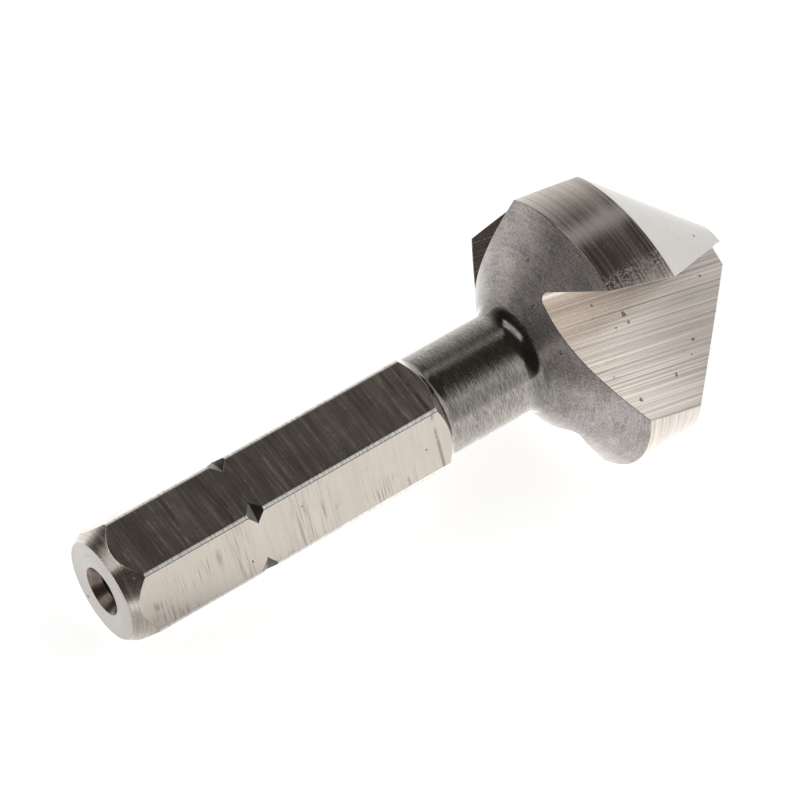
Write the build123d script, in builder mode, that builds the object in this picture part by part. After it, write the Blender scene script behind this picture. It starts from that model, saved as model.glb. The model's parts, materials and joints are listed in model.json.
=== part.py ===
"""Countersink bit with three flutes and a hexagonal shank, one piece of high-speed steel.

The bit is turned, milled and ground standing on its shank end: Z is its axis, with the tip at
the top. Bearings turn anticlockwise about Z, from the bottom line of the first flute. The
finished bit is then laid down as it comes to rest, on the edges of one flute and a corner of
the shank. Lengths are in millimetres and angles in degrees.
"""

import os
from itertools import combinations
from math import cos, radians, sin, tan

from build123d import *

# Hexagonal shank, a quarter of an inch across its flats, with turned corners
hex_across_flats = 6.35
hex_corner_diameter = 7.19
hex_bearing = 33.6
shank_length = 20.45
shank_end_diameter = 5.74
shank_end_slope = 30.0
shank_front_chamfer = 0.45
retention_groove_height = 8.27
retention_groove_width = 0.98
retention_groove_depth = 0.235
centre_hole_diameter = 2.84
centre_hole_angle = 60.0
pilot_hole_diameter = 2.1
pilot_hole_depth = 3.0
drill_point_angle = 118.0

# Turned neck and head
neck_diameter = 5.9
neck_length = 6.1
shoulder_sweep = 0.4
neck_fillet = 1.2
head_diameter = 16.5
back_cone_slope = 56.3
land_length = 3.68
point_angle = 90.0
tip_diameter = 4.0

# V-shaped flutes, whose bottom lines run straight up to the tip and in towards the axis
flute_count = 3
flute_tip_core = 0.86
flute_rise = 19.6
flute_angle = 62.4
rake_wall_lean = 48.9
flute_bottom_radius = 0.4

# Relief of each tooth, as its fall from the cutting edge across the tooth's width
cutting_edge_bearing = 31.0
tooth_width = 60.0
land_relief = 0.14
cone_relief = 0.47

# Radii and heights worked out from the sizes above
head_radius = head_diameter / 2
neck_radius = neck_diameter / 2
tip_radius = tip_diameter / 2
hex_corner_radius = hex_corner_diameter / 2
shank_end_radius = shank_end_diameter / 2
shank_front_radius = hex_corner_radius - shank_front_chamfer
end_chamfer_height = (hex_corner_radius - shank_end_radius) / tan(radians(shank_end_slope))
groove_floor_radius = hex_corner_radius - retention_groove_depth
centre_hole_radius = centre_hole_diameter / 2
pilot_hole_radius = pilot_hole_diameter / 2
centre_cone_height = (centre_hole_radius - pilot_hole_radius) / tan(radians(centre_hole_angle / 2))
drill_point_height = pilot_hole_radius / tan(radians(drill_point_angle / 2))
back_cone_start = shank_length + neck_length
land_start = back_cone_start + (head_radius - neck_radius) / tan(radians(back_cone_slope))
land_end = land_start + land_length
cone_slope = tan(radians(point_angle / 2))
overall_length = land_end + (head_radius - tip_radius) / cone_slope
flute_pitch = 360 / flute_count
flute_floor_slope = radians(flute_rise)
overcut = 1.0


def relief_centre(fall):
    """Centre about which a tooth is ground, off the axis by its fall and ahead of its edge."""
    bearing = radians(cutting_edge_bearing + tooth_width)
    return fall * cos(bearing), fall * sin(bearing)


def relief_radius(fall):
    """Distance from that centre to the outer corner of the cutting edge."""
    inward = head_radius - fall * cos(radians(tooth_width))
    sideways = fall * sin(radians(tooth_width))
    return (inward**2 + sideways**2) ** 0.5


def resting_plane(solid, facing):
    """Plane under solid as it lies with facing down: through one shank corner and two head
    corners, with no corner below it and the centre of mass over the triangle they make.
    """
    corners = [Vector(*vertex) for vertex in solid.vertices()]
    heels = [corner for corner in corners if corner.Z < shank_length / 2]
    rims = [corner for corner in corners if corner.Z > back_cone_start]
    balance = solid.center(CenterOf.MASS)
    for heel in heels:
        for left, right in combinations(rims, 2):
            up = (left - heel).cross(right - heel).normalized()
            if up.dot(facing) > 0:
                left, right, up = right, left, -up
            lowest = min(up.dot(corner - heel) for corner in corners)
            sides = ((heel, left), (left, right), (right, heel))
            held = all(up.dot((end - start).cross(balance - start)) > 0 for start, end in sides)
            if held and lowest > -1e-6 and -up.dot(facing) > cos(radians(flute_pitch / 4)):
                return Plane(origin=heel, x_dir=Vector(0, 0, 1) - up * up.Z, z_dir=up)
    raise ValueError("The bit rests on no flute")


# Form to which one tooth is ground: a cylinder and a cone, each about its own centre
form_base = land_start - overcut
form_length = overall_length - form_base + overcut
on_base = (Align.CENTER, Align.CENTER, Align.MIN)
with BuildPart() as tooth_form:
    with Locations((*relief_centre(land_relief), form_base)):
        Cylinder(relief_radius(land_relief), form_length, align=on_base)
    with Locations((*relief_centre(cone_relief), form_base)):
        cone_radius = relief_radius(cone_relief) + (land_end - form_base) * cone_slope
        Cone(cone_radius, 0, cone_radius / cone_slope, align=on_base, mode=Mode.INTERSECT)

# What the grinding takes off one tooth, out to the middle of the flute on each side of it
with BuildPart() as relief_waste:
    sector_start = cutting_edge_bearing - (flute_pitch + tooth_width) / 2
    with Locations(Location((0, 0, form_base), (0, 0, sector_start))):
        Cylinder(head_radius + overcut, form_length, arc_size=flute_pitch, align=None)
    add(tooth_form.part, mode=Mode.SUBTRACT)

# What the milling cutter takes out of one flute, drawn square to the flute's bottom line
flute_line = Vector(-sin(flute_floor_slope), 0, cos(flute_floor_slope))
flute_overrun = head_radius
flute_run = head_radius / sin(flute_floor_slope)
flute_plane = Plane(
    origin=Vector(flute_tip_core, 0, overall_length) + flute_line * flute_overrun,
    x_dir=(cos(flute_floor_slope), 0, sin(flute_floor_slope)),
    z_dir=flute_line,
)
with BuildPart() as flute_waste:
    with BuildSketch(flute_plane) as flute_section:
        with BuildLine():
            rake_wall = PolarLine((0, 0), head_diameter, rake_wall_lean)
            back_wall = PolarLine((0, 0), head_diameter, rake_wall_lean + flute_angle)
            Line(rake_wall @ 1, back_wall @ 1)
        make_face()
        flute_floor = flute_section.vertices().sort_by_distance((0, 0))[0]
        fillet(flute_floor, flute_bottom_radius)
    extrude(amount=-flute_overrun - flute_run)

# The bit itself, standing on its shank end
with BuildPart() as bit:
    # Shank bar, turned to the hexagon's corners, with its retention groove
    with BuildSketch(Plane.XZ):
        with BuildLine():
            Polyline(
                (0, 0),
                (shank_end_radius, 0),
                (hex_corner_radius, end_chamfer_height),
                (hex_corner_radius, retention_groove_height - retention_groove_width / 2),
                (groove_floor_radius, retention_groove_height),
                (hex_corner_radius, retention_groove_height + retention_groove_width / 2),
                (hex_corner_radius, shank_length - shank_front_chamfer),
                (shank_front_radius, shank_length),
                (0, shank_length),
                close=True,
            )
        make_face()
    revolve()

    # Six milled flats
    with BuildSketch():
        RegularPolygon(hex_across_flats / 2, 6, major_radius=False, rotation=hex_bearing)
    extrude(amount=shank_length, mode=Mode.INTERSECT)

    # Centre hole in the shank end: a cone with a drilled pilot hole below it
    with BuildSketch(Plane.XZ):
        with BuildLine():
            Polyline(
                (0, 0),
                (centre_hole_radius, 0),
                (pilot_hole_radius, centre_cone_height),
                (pilot_hole_radius, pilot_hole_depth),
                (0, pilot_hole_depth + drill_point_height),
                close=True,
            )
        make_face()
    revolve(mode=Mode.SUBTRACT)

    # Neck and head, turned to the full diameter of the cutting edges
    with BuildSketch(Plane.XZ) as head_section:
        with BuildLine():
            neck_foot = (neck_radius, shank_length + shoulder_sweep)
            TangentArc(neck_foot, (shank_front_radius, shank_length), tangent=(0, -1))
            Polyline(
                neck_foot,
                (neck_radius, back_cone_start),
                (head_radius, land_start),
                (head_radius, land_end),
                (tip_radius, overall_length),
                (0, overall_length),
                (0, shank_length),
                (shank_front_radius, shank_length),
            )
        make_face()
        neck_head = head_section.vertices().sort_by_distance((neck_radius, back_cone_start))[0]
        fillet(neck_head, neck_fillet)
    revolve()

    # Relief behind the cutting edges, then the flutes between the teeth
    with PolarLocations(0, flute_count):
        add(relief_waste.part, mode=Mode.SUBTRACT)
    with PolarLocations(0, flute_count):
        add(flute_waste.part, mode=Mode.SUBTRACT)

# The bit laid on its second flute, with its axis over X and its tip towards +X
lower_flute = radians(flute_pitch + cutting_edge_bearing + (flute_pitch - tooth_width) / 2)
under_flute = resting_plane(bit.part, Vector(cos(lower_flute), sin(lower_flute), 0))
laid_bit = under_flute.to_local_coords(bit.part)
laid_box = laid_bit.bounding_box()
with BuildPart() as countersink_bit:
    with Locations((-laid_box.center().X, -laid_box.center().Y, -laid_box.min.Z)):
        add(laid_bit)

countersink_bit.part.label = "countersink_bit"
os.makedirs("parts", exist_ok=True)
export_step(countersink_bit.part, "parts/countersink_bit.step")
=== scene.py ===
"""Looks of the countersink bit: its surface with finely rounded edges, the finish that turning,
milling and grinding leave on each zone of it, and the studio that its metal reflects.

Sizes are in millimetres until a mesh is made, and angles are in degrees. The bit is built
standing on its shank end, with its axis over Z, and laid where the frame has it. Bearings turn
anticlockwise about the axis, from the bottom line of the first flute.
"""

import json
import math

import bmesh
import bpy
from mathutils import Matrix, Vector


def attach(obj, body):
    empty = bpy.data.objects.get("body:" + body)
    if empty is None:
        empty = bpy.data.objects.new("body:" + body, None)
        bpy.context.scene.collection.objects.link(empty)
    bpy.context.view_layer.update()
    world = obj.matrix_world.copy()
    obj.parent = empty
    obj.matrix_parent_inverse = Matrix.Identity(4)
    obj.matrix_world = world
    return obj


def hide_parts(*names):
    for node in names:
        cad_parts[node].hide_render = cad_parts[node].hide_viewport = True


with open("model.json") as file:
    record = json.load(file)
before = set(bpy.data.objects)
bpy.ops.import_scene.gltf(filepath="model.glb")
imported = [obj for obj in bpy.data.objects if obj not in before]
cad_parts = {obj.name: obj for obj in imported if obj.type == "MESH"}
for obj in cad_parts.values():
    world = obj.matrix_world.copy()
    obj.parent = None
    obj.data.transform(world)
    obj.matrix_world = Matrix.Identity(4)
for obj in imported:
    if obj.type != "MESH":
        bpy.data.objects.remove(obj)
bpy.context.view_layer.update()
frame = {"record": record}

# The bit's sizes, as in the solid
HEX_ACROSS_FLATS = 6.35
HEX_CORNER_RADIUS = 3.595
HEX_BEARING = 33.6
SHANK_LENGTH = 20.45
SHANK_END_RADIUS = 2.87
SHANK_END_SLOPE = 30.0
SHANK_FRONT_CHAMFER = 0.45
GROOVE_HEIGHT = 8.27
GROOVE_WIDTH = 0.98
GROOVE_DEPTH = 0.235
CENTRE_HOLE_RADIUS = 1.42
CENTRE_HOLE_ANGLE = 60.0
PILOT_HOLE_RADIUS = 1.05
PILOT_HOLE_DEPTH = 3.0
DRILL_POINT_ANGLE = 118.0
NECK_RADIUS = 2.95
NECK_LENGTH = 6.1
SHOULDER_SWEEP = 0.4
NECK_FILLET = 1.2
HEAD_RADIUS = 8.25
BACK_CONE_SLOPE = 56.3
LAND_LENGTH = 3.68
TIP_RADIUS = 2.0
FLUTE_COUNT = 3
FLUTE_TIP_CORE = 0.86
FLUTE_RISE = 19.6
FLUTE_ANGLE = 62.4
RAKE_WALL_LEAN = 48.9
FLUTE_BOTTOM_RADIUS = 0.4
CUTTING_EDGE_BEARING = 31.0
TOOTH_WIDTH = 60.0
LAND_RELIEF = 0.14
CONE_RELIEF = 0.47
LOWER_BEARING = 173.91

BACK_CONE_START = SHANK_LENGTH + NECK_LENGTH
BACK_CONE_RATE = math.tan(math.radians(BACK_CONE_SLOPE))
LAND_START = BACK_CONE_START + (HEAD_RADIUS - NECK_RADIUS) / BACK_CONE_RATE
LAND_END = LAND_START + LAND_LENGTH
OVERALL_LENGTH = LAND_END + HEAD_RADIUS - TIP_RADIUS
FLUTE_PITCH = 360 / FLUTE_COUNT
FLUTE_MIDDLE = CUTTING_EDGE_BEARING + (FLUTE_PITCH - TOOTH_WIDTH) / 2

# How finely the surface is divided, and how far its edges are rounded
BEARING_STEPS = 360
ARC_STEPS = 8
CONE_STEPS = 6
EDGE_RADIUS = 0.035
SHARP_ANGLE = 20.0
MERGE_DISTANCE = 0.004
SHORTEST_EDGE = 0.002
BROAD_FACE_AREA = 1.0

ZONES = ["hole", "end_face", "chamfer", "corner", "notch", "flat", "neck", "back_cone", "land", "cone",
         "flute_0", "flute_1", "flute_2", "tip"]


def lay_matrix():
    """Where the standing bit goes in the frame, in metres, from the mounts on its axis."""
    mounts = {mount["name"]: mount for mount in frame["record"]["mounts"]}
    along = -Vector(mounts["shank_end"]["axis"]).normalized()
    middle = Vector(mounts["hex_shank"]["pos_m"])
    foot = middle - along * SHANK_LENGTH / 2 / 1000
    down = Vector((along.z, 0, -along.x))
    side = along.cross(down)
    turn = math.radians(-LOWER_BEARING)
    first = down * math.cos(turn) + side * math.sin(turn)
    second = along.cross(first)
    turned = Matrix((first, second, along)).transposed().to_4x4()
    return Matrix.Translation(foot) @ turned @ Matrix.Scale(0.001, 4)


LAID = lay_matrix()
ALONG = (LAID.to_3x3() @ Vector((0, 0, 1))).normalized()


def relieved_radius(bearing, fall, reach):
    """Radius at a bearing of a surface ground about a centre off the axis by fall, where reach is
    the radius of its cutting edge."""
    from_middle = (bearing - FLUTE_MIDDLE) % FLUTE_PITCH - FLUTE_PITCH
    bearing = math.radians(from_middle + FLUTE_MIDDLE - CUTTING_EDGE_BEARING - TOOTH_WIDTH)
    inward = reach - fall * math.cos(math.radians(TOOTH_WIDTH))
    sideways = fall * math.sin(math.radians(TOOTH_WIDTH))
    ground_radius = math.hypot(inward, sideways)
    return fall * math.cos(bearing) + math.sqrt(ground_radius**2 - (fall * math.sin(bearing)) ** 2)


def land_radius(bearing):
    """Radius of the land at a bearing."""
    return relieved_radius(bearing, LAND_RELIEF, HEAD_RADIUS)


def cone_radius(bearing, height):
    """Radius of the 90 degree cone at a bearing and a height."""
    return relieved_radius(bearing, CONE_RELIEF, HEAD_RADIUS + LAND_END - height)


def cone_edge_height(bearing):
    """Height at which the cone meets the land."""
    height = LAND_END
    for _ in range(20):
        height += cone_radius(bearing, height) - land_radius(bearing)
    return height


def arc(centre, radius, start, end):
    """Points of an arc, as radius and height, from one angle to another."""
    angles = [math.radians(start + (end - start) * step / ARC_STEPS) for step in range(ARC_STEPS + 1)]
    return [(centre[0] + radius * math.cos(a), centre[1] + radius * math.sin(a)) for a in angles]


def body_rings():
    """Rings of the turned form from the drill point to the tip: for each, a function of bearing
    that gives radius and height, and the zone of the strip that ends at it."""
    chamfer_end = (HEX_CORNER_RADIUS - SHANK_END_RADIUS) / math.tan(math.radians(SHANK_END_SLOPE))
    drill_point = PILOT_HOLE_RADIUS / math.tan(math.radians(DRILL_POINT_ANGLE / 2))
    cone_depth = (CENTRE_HOLE_RADIUS - PILOT_HOLE_RADIUS) / math.tan(math.radians(CENTRE_HOLE_ANGLE / 2))
    shank_front = HEX_CORNER_RADIUS - SHANK_FRONT_CHAMFER
    step = shank_front - NECK_RADIUS
    shoulder_radius = (step**2 + SHOULDER_SWEEP**2) / (2 * step)
    shoulder_start = 180 + math.degrees(math.asin(SHOULDER_SWEEP / shoulder_radius))
    fillet_drop = NECK_FILLET * math.tan(math.radians(BACK_CONE_SLOPE / 2))
    fixed = [
        ("hole", [(0, PILOT_HOLE_DEPTH + drill_point), (PILOT_HOLE_RADIUS, PILOT_HOLE_DEPTH),
                  (PILOT_HOLE_RADIUS, cone_depth), (CENTRE_HOLE_RADIUS, 0)]),
        ("end_face", [(SHANK_END_RADIUS, 0)]),
        ("chamfer", [(HEX_CORNER_RADIUS, chamfer_end)]),
        ("corner", [(HEX_CORNER_RADIUS, GROOVE_HEIGHT - GROOVE_WIDTH / 2)]),
        ("notch", [(HEX_CORNER_RADIUS - GROOVE_DEPTH, GROOVE_HEIGHT),
                   (HEX_CORNER_RADIUS, GROOVE_HEIGHT + GROOVE_WIDTH / 2)]),
        ("corner", [(HEX_CORNER_RADIUS, SHANK_LENGTH - SHANK_FRONT_CHAMFER)]),
        ("chamfer", [(shank_front, SHANK_LENGTH)]),
        ("neck", arc((NECK_RADIUS + shoulder_radius, SHANK_LENGTH + SHOULDER_SWEEP), shoulder_radius,
                     shoulder_start, 180)[1:]),
        ("neck", arc((NECK_RADIUS + NECK_FILLET, BACK_CONE_START - fillet_drop), NECK_FILLET,
                     180, 180 - BACK_CONE_SLOPE)),
    ]
    rings = [(lambda bearing, point=point: point, zone) for zone, points in fixed for point in points]

    def land_foot(bearing):
        radius = land_radius(bearing)
        return radius, LAND_START - (HEAD_RADIUS - radius) / BACK_CONE_RATE

    rings.append((land_foot, "back_cone"))
    rings.append((lambda bearing: (land_radius(bearing), cone_edge_height(bearing)), "land"))
    for step in range(1, CONE_STEPS + 1):
        def cone_point(bearing, share=step / CONE_STEPS):
            height = cone_edge_height(bearing) * (1 - share) + OVERALL_LENGTH * share
            return cone_radius(bearing, height), height

        rings.append((cone_point, "cone"))
    rings.append((lambda bearing: (0, OVERALL_LENGTH), "tip"))
    return rings


def new_object(name, vertices, faces, zones):
    """A mesh object, from vertices in millimetres, with a zone for each face."""
    mesh = bpy.data.meshes.new(name)
    mesh.from_pydata(vertices, [], faces)
    for zone in ZONES:
        mesh.materials.append(MATERIALS[zone])
    mesh.polygons.foreach_set("material_index", [ZONES.index(zone) for zone in zones])
    mesh.polygons.foreach_set("use_smooth", [True] * len(faces))
    mesh.update()
    piece = bpy.data.objects.new(name, mesh)
    bpy.context.scene.collection.objects.link(piece)
    return piece


def turned_body():
    """The bit before its flats are milled and its flutes are cut."""
    rings = body_rings()
    bearings = [FLUTE_MIDDLE + (step + 0.5) * 360 / BEARING_STEPS for step in range(BEARING_STEPS)]
    vertices = [(0, 0, rings[0][0](0)[1])]
    for shape, _ in rings[1:-1]:
        for bearing in bearings:
            radius, height = shape(bearing)
            turn = math.radians(bearing)
            vertices.append((radius * math.cos(turn), radius * math.sin(turn), height))
    vertices.append((0, 0, OVERALL_LENGTH))
    faces, zones = [], []
    last_ring = len(rings) - 3
    for step in range(BEARING_STEPS):
        after = (step + 1) % BEARING_STEPS
        faces.append((0, 1 + after, 1 + step))
        zones.append("hole")
        for ring in range(last_ring):
            start = 1 + ring * BEARING_STEPS
            faces.append((start + step, start + after, start + BEARING_STEPS + after,
                          start + BEARING_STEPS + step))
            zones.append(rings[ring + 2][1])
        start = 1 + last_ring * BEARING_STEPS
        faces.append((start + step, start + after, len(vertices) - 1))
        zones.append("tip")
    return new_object("countersink_surface", vertices, faces, zones)


def flats_cutter():
    """A thick six-sided sleeve whose inner walls are the shank's flats, divided at the groove."""
    wall = 3.0
    below = 1.0
    above = 0.2
    inner = HEX_ACROSS_FLATS / 2 / math.cos(math.radians(30))
    outer = inner + wall
    heights = (-below, GROOVE_HEIGHT - GROOVE_WIDTH / 2, GROOVE_HEIGHT, GROOVE_HEIGHT + GROOVE_WIDTH / 2,
               SHANK_LENGTH + above)
    vertices = []
    for height in heights:
        for radius in (inner, outer):
            for corner in range(6):
                turn = math.radians(HEX_BEARING + 60 * corner)
                vertices.append((radius * math.cos(turn), radius * math.sin(turn), height))
    top = 12 * (len(heights) - 1)
    faces = []
    for corner in range(6):
        after = (corner + 1) % 6
        for low in range(0, top, 12):
            high = low + 12
            faces.append((low + after, low + corner, high + corner, high + after))
            faces.append((low + 6 + corner, low + 6 + after, high + 6 + after, high + 6 + corner))
        faces.append((corner, after, 6 + after, 6 + corner))
        faces.append((top + after, top + corner, top + 6 + corner, top + 6 + after))
    return new_object("flats_cutter", vertices, faces, ["flat"] * len(faces))


def flute_cutter(index):
    """A V-shaped prism with a rounded bottom, along one flute's bottom line."""
    half = math.radians(FLUTE_ANGLE / 2)
    middle = RAKE_WALL_LEAN + FLUTE_ANGLE / 2
    centre_reach = FLUTE_BOTTOM_RADIUS / math.sin(half)
    centre = (centre_reach * math.cos(math.radians(middle)), centre_reach * math.sin(math.radians(middle)))
    section = arc(centre, FLUTE_BOTTOM_RADIUS, middle + 90 + FLUTE_ANGLE / 2, middle + 270 - FLUTE_ANGLE / 2)
    for lean in (RAKE_WALL_LEAN, RAKE_WALL_LEAN + FLUTE_ANGLE):
        reach = 2 * HEAD_RADIUS
        section.append((reach * math.cos(math.radians(lean)), reach * math.sin(math.radians(lean))))
    rise = math.radians(FLUTE_RISE)
    line = Vector((-math.sin(rise), 0, math.cos(rise)))
    outward = Vector((math.cos(rise), 0, math.sin(rise)))
    origin = Vector((FLUTE_TIP_CORE, 0, OVERALL_LENGTH))
    turned = Matrix.Rotation(math.radians(FLUTE_PITCH * index), 3, "Z")
    vertices = []
    for run in (HEAD_RADIUS, -HEAD_RADIUS / math.sin(rise)):
        for x, y in section:
            vertices.append(turned @ (origin + line * run + outward * x + Vector((0, y, 0))))
    count = len(section)
    faces = [tuple(range(count)), tuple(reversed(range(count, 2 * count)))]
    for corner in range(count):
        after = (corner + 1) % count
        faces.append((corner, count + corner, count + after, after))
    return new_object(f"flute_cutter_{index}", vertices, faces, [f"flute_{index}"] * len(faces))


def apply_modifiers(piece):
    """Makes what a piece's modifiers give its own mesh."""
    evaluated = piece.evaluated_get(bpy.context.evaluated_depsgraph_get())
    mesh = bpy.data.meshes.new_from_object(evaluated)
    piece.modifiers.clear()
    piece.data = mesh


def cut(piece, cutter):
    """Takes a cutter's volume out of a piece, and deletes the cutter."""
    modifier = piece.modifiers.new("cut", "BOOLEAN")
    modifier.operation = "DIFFERENCE"
    modifier.solver = "EXACT"
    modifier.object = cutter
    apply_modifiers(piece)
    bpy.data.objects.remove(cutter)


class Graph:
    """A node tree, built one call a node. An input is a number, a tuple or another node's output."""

    def __init__(self, tree):
        self.tree = tree
        tree.nodes.clear()

    def node(self, kind, inputs=None, **settings):
        """Adds a node of a kind, with its settings and its inputs by name or number."""
        made = self.tree.nodes.new(kind)
        for name, value in settings.items():
            setattr(made, name, value)
        for socket, value in (inputs or {}).items():
            self.feed(made.inputs[socket], value)
        return made

    def feed(self, socket, value):
        """Links an output to a socket, or sets the socket to a value."""
        if isinstance(value, bpy.types.NodeSocket):
            self.tree.links.new(value, socket)
        else:
            socket.default_value = value

    def math(self, operation, first, second=0.0, third=0.0):
        made = self.node("ShaderNodeMath", {0: first, 1: second, 2: third}, operation=operation)
        return made.outputs[0]

    def vector(self, operation, first, second=(0, 0, 0)):
        made = self.node("ShaderNodeVectorMath", {0: first, 1: second}, operation=operation)
        return made.outputs["Value" if operation in ("DOT_PRODUCT", "LENGTH") else "Vector"]

    def noise(self, place, scale, detail, roughness=0.5):
        """Noise at a place, with features of 1 / scale each way."""
        scaled = self.vector("MULTIPLY", place, scale)
        inputs = {"Vector": scaled, "Scale": 1.0, "Detail": detail, "Roughness": roughness}
        return self.node("ShaderNodeTexNoise", inputs).outputs["Fac"]

    def span(self, value, low, high, to_low=0.0, to_high=1.0):
        """A smooth step from to_low at low to to_high at high."""
        inputs = {"Value": value, "From Min": low, "From Max": high, "To Min": to_low, "To Max": to_high}
        return self.node("ShaderNodeMapRange", inputs, interpolation_type="SMOOTHSTEP").outputs["Result"]

    def mix(self, share, first, second, blend="MIX"):
        """A mix of two colours, with the share of the second."""
        made = self.node("ShaderNodeMix", data_type="RGBA", blend_type=blend)
        self.feed(made.inputs[0], share)
        self.feed(made.inputs[6], first)
        self.feed(made.inputs[7], second)
        return made.outputs[2]


# Turned marks are laid out as on a cylinder of this radius
TURNED_REACH = 5.0

# Spans of a noise value, which lies about 0.5, over which a mask goes from 0 to 1
CREST_SPAN = (0.36, 0.64)
SPECK_SPAN = (0.35, 0.65)
TINT_SPAN = (0.42, 0.62)
RUBBED_SPAN = (0.42, 0.74)
RUBBED_PATCH_SPAN = (0.40, 0.64)
SCRATCH_SPAN = (0.72, 0.75)
STAIN_SPAN = (0.48, 0.66)
STAIN_PATCH_SPAN = (0.56, 0.70)
PAINTED_SHADE_LINE_SPAN = (0.40, 0.58)
NICK_SPAN = (0.54, 0.64)

# Light and dark, and roughness, of what every zone has
CLOUD_SHARE = 0.10
SPECK_ROUGHNESS = 0.06

# Pits and nicks, with depths in micrometres
PIT_COLOUR = (0.10, 0.085, 0.07, 1)
PIT_DARKNESS = 0.65
PIT_DEPTH = 20.0
PIT_ROUGHNESS = 0.3
PIT_CHANCE_FROM = 0.40
PIT_WOBBLE = 0.32
PIT_WALL = 0.03
NICK_DEPTH = 12.0
NICKS_BEHIND_EDGE = 2.0
NICKS_FULL_WITHIN = 1.0
NICKS_GONE_BEYOND = 12.0

# The dark streaks, which are stains, and the line of painted shade near the shank's front
STAIN_AND_SHADE_STRENGTH = 0.66
STAIN_GATHER_SHARE = 0.7
PAINTED_SHADE_LINE_HEIGHT = SHANK_LENGTH - 0.85

# What polishing leaves of marks and of roughness, and where on the fillet it stops
POLISHED_MARKS = 0.06
POLISHED_ROUGHNESS = 0.65
POLISH_STOPS = (26.45, 26.90)


def own_place(graph, matrix):
    """Coordinates in millimetres, by a matrix from the object's own."""
    own = graph.node("ShaderNodeTexCoord").outputs["Object"]
    place, turn, size = matrix.decompose()
    inputs = {"Vector": own, "Location": place, "Rotation": turn.to_euler(), "Scale": size}
    return graph.node("ShaderNodeMapping", inputs).outputs[0]


def turned_place(graph, by_radius=False):
    """Where a point lies on a turned zone: two parts that change round it, and one across its marks."""
    place = own_place(graph, LAID.inverted())
    flat_part = graph.vector("MULTIPLY", place, (1, 1, 0))
    outward = graph.vector("NORMALIZE", flat_part)
    round_part = graph.vector("MULTIPLY", outward, (TURNED_REACH, TURNED_REACH, 0))
    if by_radius:
        across = graph.node("ShaderNodeCombineXYZ", {2: graph.vector("LENGTH", flat_part)}).outputs[0]
        return graph.vector("ADD", round_part, across)
    return graph.vector("ADD", round_part, graph.vector("MULTIPLY", place, (0, 0, 1)))


def flute_line(index):
    """Direction of a flute's bottom line on the standing bit, towards the tip."""
    rise = math.radians(FLUTE_RISE)
    turned = Matrix.Rotation(math.radians(FLUTE_PITCH * index), 3, "Z")
    return turned @ Vector((-math.sin(rise), 0, math.cos(rise)))


def flute_matrix(index):
    """From the object's own coordinates to those of a flute, with its bottom line over Z."""
    turn = Matrix.Rotation(math.radians(-FLUTE_PITCH * index), 4, "Z")
    lean = Matrix.Rotation(math.radians(FLUTE_RISE), 4, "Y")
    return lean @ turn @ LAID.inverted()


def swing(graph, value, amount):
    """A noise value, which lies about 0.5, as a swing about 0."""
    return graph.math("MULTIPLY_ADD", value, 2 * amount, -amount)


def pit_mask(graph, place, spacing, size):
    """1 inside sparse pits of uneven outline, up to size across from their middle, in millimetres."""
    wobble = graph.node("ShaderNodeTexNoise", {"Vector": place, "Scale": 7.0, "Detail": 3.0}).outputs["Color"]
    moved = graph.vector("ADD", place, graph.vector("MULTIPLY", wobble, (PIT_WOBBLE,) * 3))
    cell = graph.node("ShaderNodeTexVoronoi", {"Vector": moved, "Scale": 1 / spacing})
    chance = graph.node("ShaderNodeSeparateColor", {0: cell.outputs["Color"]}).outputs[0]
    reach = graph.span(chance, PIT_CHANCE_FROM, 1.0, 0.0, size / spacing)
    depth = graph.math("SUBTRACT", reach, cell.outputs["Distance"])
    return graph.span(depth, 0.0, PIT_WALL / spacing)


def edge_mask(graph, standing):
    """1 along the cutting edges, fading over the first part of each tooth behind them."""
    outward = graph.vector("NORMALIZE", graph.vector("MULTIPLY", standing, (1, 1, 0)))
    nearest = -1.0
    for tooth in range(FLUTE_COUNT):
        turn = math.radians(CUTTING_EDGE_BEARING - NICKS_BEHIND_EDGE + FLUTE_PITCH * tooth)
        nearness = graph.vector("DOT_PRODUCT", outward, (math.cos(turn), math.sin(turn), 0))
        nearest = graph.math("MAXIMUM", nearness, nearest)
    gone = math.cos(math.radians(NICKS_GONE_BEYOND))
    full = math.cos(math.radians(NICKS_FULL_WITHIN))
    return graph.span(nearest, gone, full)


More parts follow.
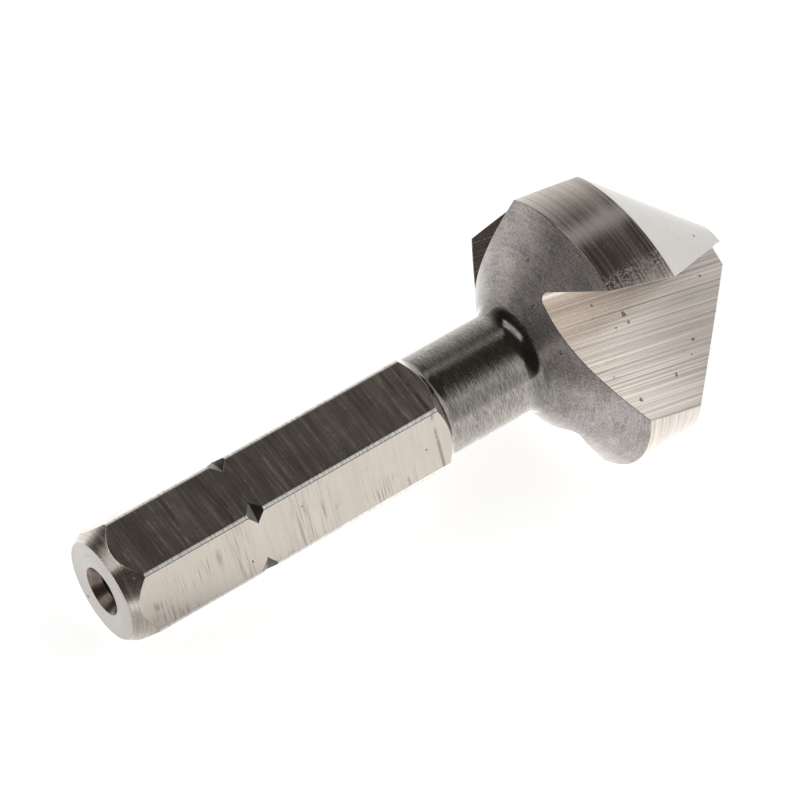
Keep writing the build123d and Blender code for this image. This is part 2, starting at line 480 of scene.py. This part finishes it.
class ZoneSteel:
    """The steel of one zone of the bit, to which each call adds a layer. It holds the tone, as light
    and dark about 0, the height in micrometres, the roughness and the shade so far."""

    def __init__(self, graph, zone, lay):
        self.graph = graph
        self.lay = lay
        self.standing = own_place(graph, LAID.inverted())
        self.level = graph.node("ShaderNodeSeparateXYZ", {0: self.standing}).outputs[2]
        self.place = self.standing
        self.direction = ALONG
        if lay == "flute":
            index = int(zone[-1])
            self.place = own_place(graph, flute_matrix(index))
            self.direction = (LAID.to_3x3() @ flute_line(index)).normalized()
        elif lay in ("turned", "face"):
            self.place = turned_place(graph, lay == "face")
        self.cloud = graph.noise(self.standing, (0.8, 0.8, 0.8), 5.0, 0.6)

    def streaks(self, width, length, detail=2.0):
        """Noise drawn out along the marks."""
        thin, long = 1 / width, 1 / length
        scale = (thin, thin, long) if self.lay == "flute" else (long, long, thin)
        return self.graph.noise(self.place, scale, detail, 0.6)

    def away_from(self, height):
        """How far up or down a point is from a height on the standing bit."""
        return self.graph.math("ABSOLUTE", self.graph.math("SUBTRACT", self.level, height))

    def add_grain(self, rise, size, share):
        """Starts the height and the tone with fine grain and broad clouds."""
        graph = self.graph
        self.speck = graph.noise(self.standing, (1 / size,) * 3, 3.0, 0.7)
        self.height = graph.math("MULTIPLY", self.speck, rise)
        grain = swing(graph, graph.span(self.speck, *SPECK_SPAN), share)
        self.tone = graph.math("ADD", swing(graph, self.cloud, CLOUD_SHARE), grain)

    def add_marks(self, layers, bite):
        """Adds layers of marks, and the roughness of their ridges."""
        graph = self.graph
        self.ridges = 0.0
        for width, length, rise, share in layers:
            layer = self.streaks(width, length)
            self.height = graph.math("MULTIPLY_ADD", layer, rise, self.height)
            crest = graph.span(layer, *CREST_SPAN)
            self.tone = graph.math("ADD", self.tone, swing(graph, crest, share))
            self.ridges = graph.math("MULTIPLY_ADD", crest, bite / len(layers), self.ridges)

    def add_colour(self, colour, tint, painted_shading):
        """Starts the shade: the colour, tinted in clouds, with the tone and with painted light and shade
        along the bit.
        """
        graph = self.graph
        bright = graph.math("ADD", self.tone, 1.0)
        # A gain along the bit here is painted light and shade, not a change in the steel.
        if painted_shading:
            bright = graph.math("MULTIPLY", bright, graph.span(self.level, *painted_shading))
        gain = graph.node("ShaderNodeCombineXYZ", {0: bright, 1: bright, 2: bright}).outputs[0]
        base = (*colour, 1)
        if tint:
            base = graph.mix(graph.span(self.cloud, *TINT_SPAN), base, (*tint, 1))
        self.shade = graph.mix(1.0, base, gain, "MULTIPLY")

    def add_roughness(self, roughness, scuffs):
        """Starts the roughness, with rubbed streaks and a few long scratches."""
        graph = self.graph
        patch = graph.span(self.cloud, *RUBBED_PATCH_SPAN)
        rubbed = graph.math("MULTIPLY", graph.span(self.streaks(0.13, 6.0, 3.0), *RUBBED_SPAN), patch)
        scratch = graph.span(self.streaks(0.05, 20.0, 1.0), *SCRATCH_SPAN)
        worn = graph.math("MAXIMUM", rubbed, scratch)
        self.dull = graph.math("MULTIPLY_ADD", worn, scuffs, roughness)
        self.dull = graph.math("ADD", self.dull, swing(graph, self.speck, SPECK_ROUGHNESS))
        self.dull = graph.math("ADD", self.dull, self.ridges)

    def add_stain_and_shade_line(self, colour, gathers):
        """Adds short dark stain streaks in patches, and a thin painted shade line round the shank's front."""
        graph = self.graph
        where = graph.span(graph.noise(self.standing, (0.45, 0.45, 0.30), 2.0), *STAIN_PATCH_SPAN)
        for centre, reach in gathers:
            near = graph.span(self.away_from(centre), reach, 0.3 * reach, 0.0, STAIN_GATHER_SHARE)
            where = graph.math("MAXIMUM", near, where)
        dark = graph.math("MULTIPLY", graph.span(self.streaks(0.11, 2.6, 3.0), *STAIN_SPAN), where)
        # The thin dark line round the front of the shank is painted shade.
        line = graph.span(self.away_from(PAINTED_SHADE_LINE_HEIGHT), 0.16, 0.04)
        line = graph.math("MULTIPLY", line, graph.span(self.cloud, *PAINTED_SHADE_LINE_SPAN))
        dark = graph.math("MAXIMUM", line, dark)
        self.shade = graph.mix(graph.math("MULTIPLY", dark, STAIN_AND_SHADE_STRENGTH), self.shade, (*colour, 1))

    def add_polish(self, spans):
        """Smooths the zone away from its rough part."""
        graph = self.graph
        rough = 1.0
        for smooth_at, rough_at in spans:
            rough = graph.math("MULTIPLY", graph.span(self.level, smooth_at, rough_at), rough)
        rough = graph.math("MAXIMUM", graph.span(self.level, *POLISH_STOPS), rough)
        self.height = graph.math("MULTIPLY", self.height, graph.math("MAXIMUM", rough, POLISHED_MARKS))
        share = graph.math("MULTIPLY_ADD", rough, 1 - POLISHED_ROUGHNESS, POLISHED_ROUGHNESS)
        self.dull = graph.math("MULTIPLY", self.dull, share)

    def add_nicks(self, dullness):
        """Adds nicks and burrs beside the cutting edges."""
        graph = self.graph
        edge = edge_mask(graph, self.standing)
        nick = graph.noise(self.standing, (9.0, 9.0, 9.0), 5.0, 0.8)
        nick = graph.math("MULTIPLY", graph.span(nick, *NICK_SPAN), edge)
        self.dull = graph.math("MULTIPLY_ADD", nick, dullness, self.dull)
        self.height = graph.math("MULTIPLY_ADD", nick, -NICK_DEPTH, self.height)

    def add_pits(self, spacing, size):
        """Adds sparse dark pits."""
        graph = self.graph
        hollow = pit_mask(graph, self.standing, spacing, size)
        self.shade = graph.mix(graph.math("MULTIPLY", hollow, PIT_DARKNESS), self.shade, PIT_COLOUR)
        self.height = graph.math("MULTIPLY_ADD", hollow, -PIT_DEPTH, self.height)
        self.dull = graph.math("MULTIPLY_ADD", hollow, PIT_ROUGHNESS, self.dull)

    def tangent(self):
        """Reflections draw out across the marks: from the middle on a face, else along one line."""
        graph = self.graph
        if self.lay != "face":
            return graph.node("ShaderNodeCombineXYZ", dict(enumerate(self.direction))).outputs[0]
        own = graph.node("ShaderNodeTexCoord").outputs["Object"]
        return graph.vector("NORMALIZE", graph.vector("SUBTRACT", own, tuple(LAID.translation)))

    def add_shader(self, spread):
        """Makes the metal from all the layers."""
        graph = self.graph
        bump = graph.node("ShaderNodeBump", {"Strength": 1.0, "Distance": 0.000001, "Height": self.height})
        shader = graph.node("ShaderNodeBsdfPrincipled", {
            "Base Color": self.shade, "Metallic": 1.0, "Roughness": self.dull, "Anisotropic": spread,
            "Anisotropic Rotation": 0.25 if self.lay == "flute" else 0.0,
            "Normal": bump.outputs[0], "Tangent": self.tangent()})
        graph.node("ShaderNodeOutputMaterial", {"Surface": shader.outputs[0]})


def steel(zone, lay, colour, roughness, layers, scuffs=0.25, grain=(0.0, 0.1, 0.0), pits=None, tint=None,
          stain_and_shade_line=None, polish=None, painted_shading=None, chips=0.0, bite=0.0, spread=0.6):
    """Machined tool steel, as one zone of the bit shows it.

    lay names how its marks run. Each layer of marks has a width and a length in millimetres, a rise
    in micrometres and a share of light and dark. scuffs is how much duller its rubbed streaks are.
    grain is a rise, a size and a share, pits a spacing and a size, tint the colour of its clouds,
    and stain_and_shade_line that of its sparse dark stain streaks, with the heights about which they
    gather, and of a thin line of painted shade round the front of the shank. polish is a list of
    pairs of heights between which it turns smooth, painted_shading two heights with the gain at
    each, which paints light and shade along the bit, chips how much the cutting edges wear, bite
    how much duller the marks' ridges are, and spread how far reflections draw out across the marks."""
    material = bpy.data.materials.new(f"steel_{zone}")
    material.use_nodes = True
    look = ZoneSteel(Graph(material.node_tree), zone, lay)
    look.add_grain(*grain)
    look.add_marks(layers, bite)
    look.add_colour(colour, tint, painted_shading)
    look.add_roughness(roughness, scuffs)
    if stain_and_shade_line:
        look.add_stain_and_shade_line(*stain_and_shade_line)
    if polish:
        look.add_polish(polish)
    if chips:
        look.add_nicks(chips)
    if pits:
        look.add_pits(*pits)
    look.add_shader(spread)
    return material


BROWN = (0.19, 0.145, 0.11)
FINISHES = {
    # The hole's dark colour is painted shade in the bore.
    "hole": dict(lay="turned", colour=(0.25, 0.20, 0.17), roughness=0.32,
                 layers=[(0.10, 3.0, 5.0, 0.15)],
                 grain=(3.0, 0.1, 0.1)),
    "end_face": dict(lay="face", colour=(0.49, 0.465, 0.435), roughness=0.30,
                     layers=[(0.06, 1.0, 0.3, 0.01), (0.2, 1.5, 0.3, 0.015)],
                     grain=(1.2, 0.15, 0.06), pits=(0.9, 0.12)),
    "chamfer": dict(lay="turned", colour=(0.62, 0.565, 0.50), roughness=0.26,
                    layers=[(0.06, 2.0, 2.0, 0.14)],
                    grain=(2.5, 0.10, 0.10), pits=(1.0, 0.10)),
    # The corners' colour, far brighter than the rest of the steel, is painted highlight.
    "corner": dict(lay="turned", colour=(0.90, 0.855, 0.81), roughness=0.22,
                   layers=[(0.07, 3.0, 0.8, 0.20)]),
    # The notch's dark colour is painted shade in the groove.
    "notch": dict(lay="turned", colour=(0.18, 0.168, 0.155), roughness=0.30,
                  layers=[(0.07, 3.0, 0.8, 0.1)]),
    "flat": dict(lay="flat", colour=(0.575, 0.525, 0.465), roughness=0.145,
                 layers=[(0.05, 3.0, 1.0, 0.02), (0.16, 5.0, 2.0, 0.03), (0.6, 5.0, 2.5, 0.02)],
                 scuffs=0.12, pits=(0.8, 0.09), stain_and_shade_line=(BROWN, [(6.9, 0.9), (11.3, 2.0)]), bite=0.12),
    # The neck darkens towards its fillet by a gain along the bit: painted shade.
    "neck": dict(lay="turned", colour=(0.318, 0.299, 0.273), roughness=0.17,
                 layers=[(0.055, 0.70, 11.0, 0.24), (0.2, 1.8, 8.0, 0.08)],
                 grain=(2.0, 0.08, 0.10), polish=[(20.9, 21.3), (26.0, 25.2)],
                 painted_shading=(25.6, 26.35, 1.0, 0.60), spread=0.4),
    # The back cone is darker near its foot by a gain along the bit: painted shade.
    "back_cone": dict(lay="turned", colour=(0.30, 0.274, 0.25), roughness=0.24,
                      layers=[(0.05, 1.2, 2.5, 0.11), (0.13, 3.0, 1.5, 0.03), (0.9, 1.6, 0.0, 0.12)],
                      scuffs=0.10, grain=(3.0, 0.13, 0.24), tint=(0.290, 0.265, 0.263),
                      pits=(1.2, 0.12), painted_shading=(26.8, 28.6, 0.72, 1.0)),
    "land": dict(lay="turned", colour=(0.63, 0.575, 0.515), roughness=0.12,
                 layers=[(0.045, 10.0, 2.0, 0.15), (0.10, 14.0, 3.5, 0.12)],
                 scuffs=0.12, chips=0.50, bite=0.19),
    "cone": dict(lay="turned", colour=(0.53, 0.51, 0.485), roughness=0.26,
                 layers=[(0.06, 4.0, 0.6, 0.015)],
                 scuffs=0.05, pits=(0.8, 0.12)),
    "tip": dict(lay="face", colour=(0.46, 0.44, 0.42), roughness=0.30,
                layers=[(0.06, 4.0, 0.6, 0.05)]),
}
for flute in range(FLUTE_COUNT):
    # Each flute wall is brighter at its low end and darker towards the tip, by a gain along the bit: painted
    # light and shade.
    FINISHES[f"flute_{flute}"] = dict(
        lay="flute", colour=(0.53, 0.48, 0.435), roughness=0.24,
        layers=[(0.05, 12.0, 2.2, 0.16), (0.13, 25.0, 3.5, 0.16), (0.5, 30.0, 5.0, 0.07)],
        pits=(0.95, 0.17), painted_shading=(29.0, 37.0, 1.34, 0.86))
MATERIALS = {zone: steel(zone, **finish) for zone, finish in FINISHES.items()}


def keep_flats_true(mesh):
    """Gives the corners of each broad flat face the face's own normal."""
    normals = [corner.vector.copy() for corner in mesh.corner_normals]
    for face in mesh.polygons:
        if face.area > BROAD_FACE_AREA:
            for corner in face.loop_indices:
                normals[corner] = face.normal.copy()
    mesh.normals_split_custom_set(normals)


def tidy_mesh(mesh):
    """Merges the specks that cutting leaves, and clears faces with no area."""
    form = bmesh.new()
    form.from_mesh(mesh)
    bmesh.ops.remove_doubles(form, verts=form.verts, dist=MERGE_DISTANCE)
    bmesh.ops.dissolve_degenerate(form, edges=form.edges, dist=SHORTEST_EDGE)
    form.to_mesh(mesh)
    form.free()


def countersink_surface():
    """The whole bit, cut as the solid is, with its edges rounded and its normals kept true."""
    surface = turned_body()
    cut(surface, flats_cutter())
    for index in range(FLUTE_COUNT):
        cut(surface, flute_cutter(index))
    tidy_mesh(surface.data)
    bevel = surface.modifiers.new("edges", "BEVEL")
    bevel.width = EDGE_RADIUS
    bevel.segments = 2
    bevel.limit_method = "ANGLE"
    bevel.angle_limit = math.radians(SHARP_ANGLE)
    bevel.use_clamp_overlap = False
    weighted = surface.modifiers.new("normals", "WEIGHTED_NORMAL")
    weighted.mode = "FACE_AREA"
    weighted.weight = 50
    weighted.keep_sharp = True
    apply_modifiers(surface)
    keep_flats_true(surface.data)
    surface.data.transform(LAID)
    surface.data.update()
    return surface


def camera():
    """The photograph's viewpoint: a long lens above and beside the shank end."""
    axis_turn = math.radians(68.47)
    axis_rise = math.radians(29.5)
    view_bearing = 28.0
    shank_end_pixel = (101.7, 591.5)
    pixels_per_mm = 19.14
    distance = 285.7
    picture_side = 800
    sensor_width = 36.0

    def direction(bearing):
        turn = math.radians(bearing)
        return (LAID.to_3x3() @ Vector((math.cos(turn), math.sin(turn), 0))).normalized()

    facing = direction(view_bearing)
    across = direction(view_bearing + 90)
    sin_turn, cos_turn = math.sin(axis_turn), math.cos(axis_turn)
    sin_rise, cos_rise = math.sin(axis_rise), math.cos(axis_rise)
    right = ALONG * sin_turn * cos_rise + facing * cos_turn * cos_rise + across * sin_rise
    up = ALONG * sin_turn * sin_rise + facing * cos_turn * sin_rise - across * cos_rise
    back = facing * sin_turn - ALONG * cos_turn
    foot = LAID.translation
    left_by = (shank_end_pixel[0] - picture_side / 2) / pixels_per_mm / 1000
    below_by = (shank_end_pixel[1] - picture_side / 2) / pixels_per_mm / 1000
    place = foot - right * left_by + up * below_by + back * distance / 1000
    data = bpy.data.cameras.new("camera")
    data.sensor_width = sensor_width
    data.lens = sensor_width * pixels_per_mm * distance / picture_side
    data.clip_start = 0.01
    data.clip_end = 20
    viewer = bpy.data.objects.new("camera", data)
    viewer.matrix_world = Matrix.Translation(place) @ Matrix((right, up, back)).transposed().to_4x4()
    bpy.context.scene.collection.objects.link(viewer)
    bpy.context.scene.camera = viewer


def heading(azimuth, elevation):
    """Unit vector towards a place in the studio."""
    turn, rise = math.radians(azimuth), math.radians(elevation)
    return (math.cos(rise) * math.cos(turn), math.cos(rise) * math.sin(turn), math.sin(rise))


# The floor as the metal sees it, with places and half sizes in metres
FLOOR_LIGHT = 0.91
BRIGHT_PLACE = (0.014, 0.006, 0)
BRIGHT_HALF_SIZES = (0.042, 0.022)
BRIGHT_GAIN = 0.36
SHADE_PLACE = (-0.016, -0.011, 0)
SHADE_HALF_SIZES = (0.012, 0.008)
FAR_SIDE = (-0.03, -0.10)
SHADE_LOSS = 0.65

# The floor as the camera sees it: its own glow makes it white, and its paper takes the shadow
CAMERA_GLOW = 0.79
PAPER_COLOUR = (0.75, 0.75, 0.75, 1)


def floor_light(graph):
    """How bright the metal sees the floor: brightest close behind the bit, and darkest in the bit's
    own shade, which lies towards the shank end, and far out on that side."""
    place = graph.node("ShaderNodeTexCoord").outputs["Object"]

    def spread(centre, half_sizes):
        scale = (1 / half_sizes[0], 1 / half_sizes[1], 0)
        offset = graph.vector("SUBTRACT", place, centre)
        return graph.vector("LENGTH", graph.vector("MULTIPLY", offset, scale))

    near = graph.span(spread(BRIGHT_PLACE, BRIGHT_HALF_SIZES), 1.0, 0.3)
    shade = graph.span(spread(SHADE_PLACE, SHADE_HALF_SIZES), 1.6, 0.6)
    far = graph.span(graph.node("ShaderNodeSeparateXYZ", {0: place}).outputs[0], *FAR_SIDE)
    lit = graph.math("MULTIPLY_ADD", near, BRIGHT_GAIN, FLOOR_LIGHT)
    kept = graph.math("MULTIPLY_ADD", graph.math("MAXIMUM", shade, far), -SHADE_LOSS, 1.0)
    return graph.math("MULTIPLY", lit, kept)


def floor():
    """A white floor that keeps the bit's soft shadow."""
    side = 5.0
    corners = [(-side, -side, 0), (side, -side, 0), (side, side, 0), (-side, side, 0)]
    mesh = bpy.data.meshes.new("floor")
    mesh.from_pydata(corners, [], [(0, 1, 2, 3)])
    piece = bpy.data.objects.new("floor", mesh)
    bpy.context.scene.collection.objects.link(piece)
    material = bpy.data.materials.new("floor")
    material.use_nodes = True
    graph = Graph(material.node_tree)
    path = graph.node("ShaderNodeLightPath")
    seen = graph.math("MAXIMUM", path.outputs["Is Camera Ray"], path.outputs["Is Transmission Ray"])
    mirrored = graph.math("MULTIPLY", path.outputs["Is Glossy Ray"], floor_light(graph))
    glow = graph.math("MULTIPLY_ADD", seen, CAMERA_GLOW, mirrored)
    paper = graph.node("ShaderNodeBsdfDiffuse", {"Color": PAPER_COLOUR})
    light = graph.node("ShaderNodeEmission", {"Color": (1, 1, 1, 1), "Strength": glow})
    both = graph.node("ShaderNodeAddShader", {0: paper.outputs[0], 1: light.outputs[0]})
    graph.node("ShaderNodeOutputMaterial", {"Surface": both.outputs[0]})
    mesh.materials.append(material)


def panel(graph, look, light, azimuth, elevation, half_width, half_height, edge, strength):
    """A soft-edged panel of light in the world; its half sizes are angles."""
    centre = Vector(heading(azimuth, elevation))
    aside = Vector(heading(azimuth + 90, 0))
    above = centre.cross(aside)
    depth = graph.math("MAXIMUM", graph.vector("DOT_PRODUCT", look, tuple(centre)), 0.001)
    share = 1.0
    for direction, half in ((aside, half_width), (above, half_height)):
        offset = graph.math("DIVIDE", graph.vector("DOT_PRODUCT", look, tuple(direction)), depth)
        limit = math.tan(math.radians(half))
        inside = graph.span(graph.math("ABSOLUTE", offset), limit + edge, limit - edge)
        share = graph.math("MULTIPLY", inside, share)
    return graph.mix(share, light, (strength, strength, strength, 1))


# The studio's dark side, about the camera's place, and its soft panels: the azimuth and elevation,
# the half width and half height as angles, the softness of the edge and the strength of each
DARK_HEADING = (-170, 50)
DARK_SPAN = (0.47, -0.45)
DARK_COLOUR = (0.060, 0.054, 0.047, 1)
PANELS = [(-36, 26, 32, 26, 0.25, 0.98), (150, 53, 26, 12, 0.05, 1.3), (56, 59, 11, 6, 0.07, 0.46)]


def studio():
    """A white studio with a dark side and soft panels of light."""
    world = bpy.data.worlds.new("world")
    world.use_nodes = True
    graph = Graph(world.node_tree)
    look = graph.vector("NORMALIZE", graph.node("ShaderNodeTexCoord").outputs["Generated"])
    dark_side = graph.vector("DOT_PRODUCT", look, heading(*DARK_HEADING))
    light = graph.mix(graph.span(dark_side, *DARK_SPAN), DARK_COLOUR, (1, 1, 1, 1))
    for shape in PANELS:
        light = panel(graph, look, light, *shape)
    background = graph.node("ShaderNodeBackground", {"Color": light, "Strength": 1.0})
    graph.node("ShaderNodeOutputWorld", {"Surface": background.outputs[0]})
    bpy.context.scene.world = world


surface = countersink_surface()
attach(surface, "root")
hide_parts("countersink_bit")
camera()
floor()
studio()
bpy.context.scene.view_settings.view_transform = "Standard"
